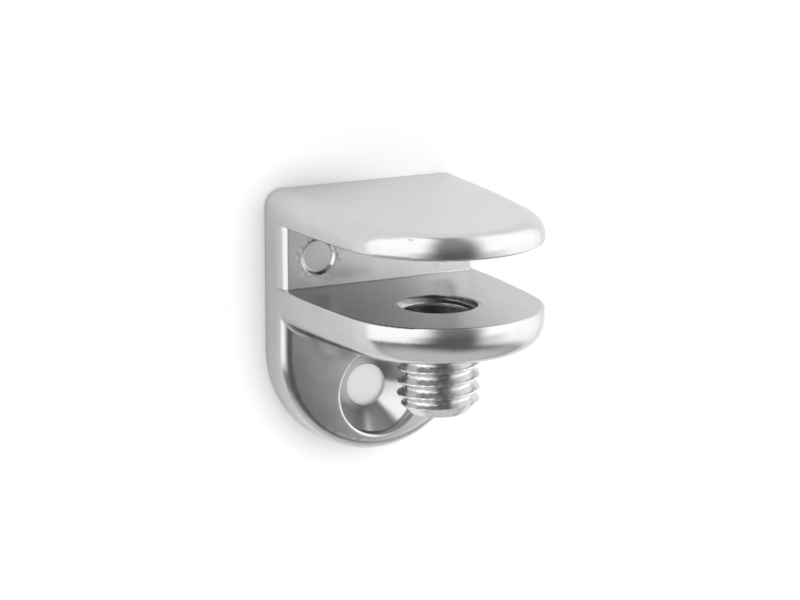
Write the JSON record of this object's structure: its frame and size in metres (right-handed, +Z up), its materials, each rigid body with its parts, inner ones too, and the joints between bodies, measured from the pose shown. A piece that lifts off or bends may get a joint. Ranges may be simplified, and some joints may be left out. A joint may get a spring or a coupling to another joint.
{
  "type": "glass shelf support",
  "caption": "Wall bracket with a tongue-shaped slot that clamps the edge of a glass shelf by a screw from below.",
  "frame": {"origin": "centre of the wall-screw hole, in the plane of the wall", "axes": "+X along the wall, -Y out of the wall along the wall-screw hole, +Z up along the clamp screw"},
  "size_m": [0.0214, 0.0257, 0.0266],
  "materials": {
    "satin_chrome": "satin chrome plate on a zinc die casting",
    "plated_steel": "bright zinc plate on a turned steel screw",
    "pad_plastic": "natural moulded nylon"
  },
  "bodies": {
    "bracket": {"bracket_body": "satin_chrome"},
    "pad": {"tip_pad": "pad_plastic"},
    "screw": {"clamp_screw": "plated_steel"}
  },
  "joints": [
    {"name": "pad_lift", "type": "slide", "parent": "bracket", "child": "pad", "axis": [0, 0, 1], "range_m": [-0.00063, 0.00775]},
    {"name": "screw_turn", "type": "hinge", "parent": "pad", "child": "screw", "pos_m": [0, -0.0157, 0.005], "axis": [0, 0, 1], "range_deg": [-181, 2233]}
  ],
  "couplings": [
    {"joint": "screw_turn", "follows": "pad_lift", "rad_per_m": 5026.5}
  ]
}
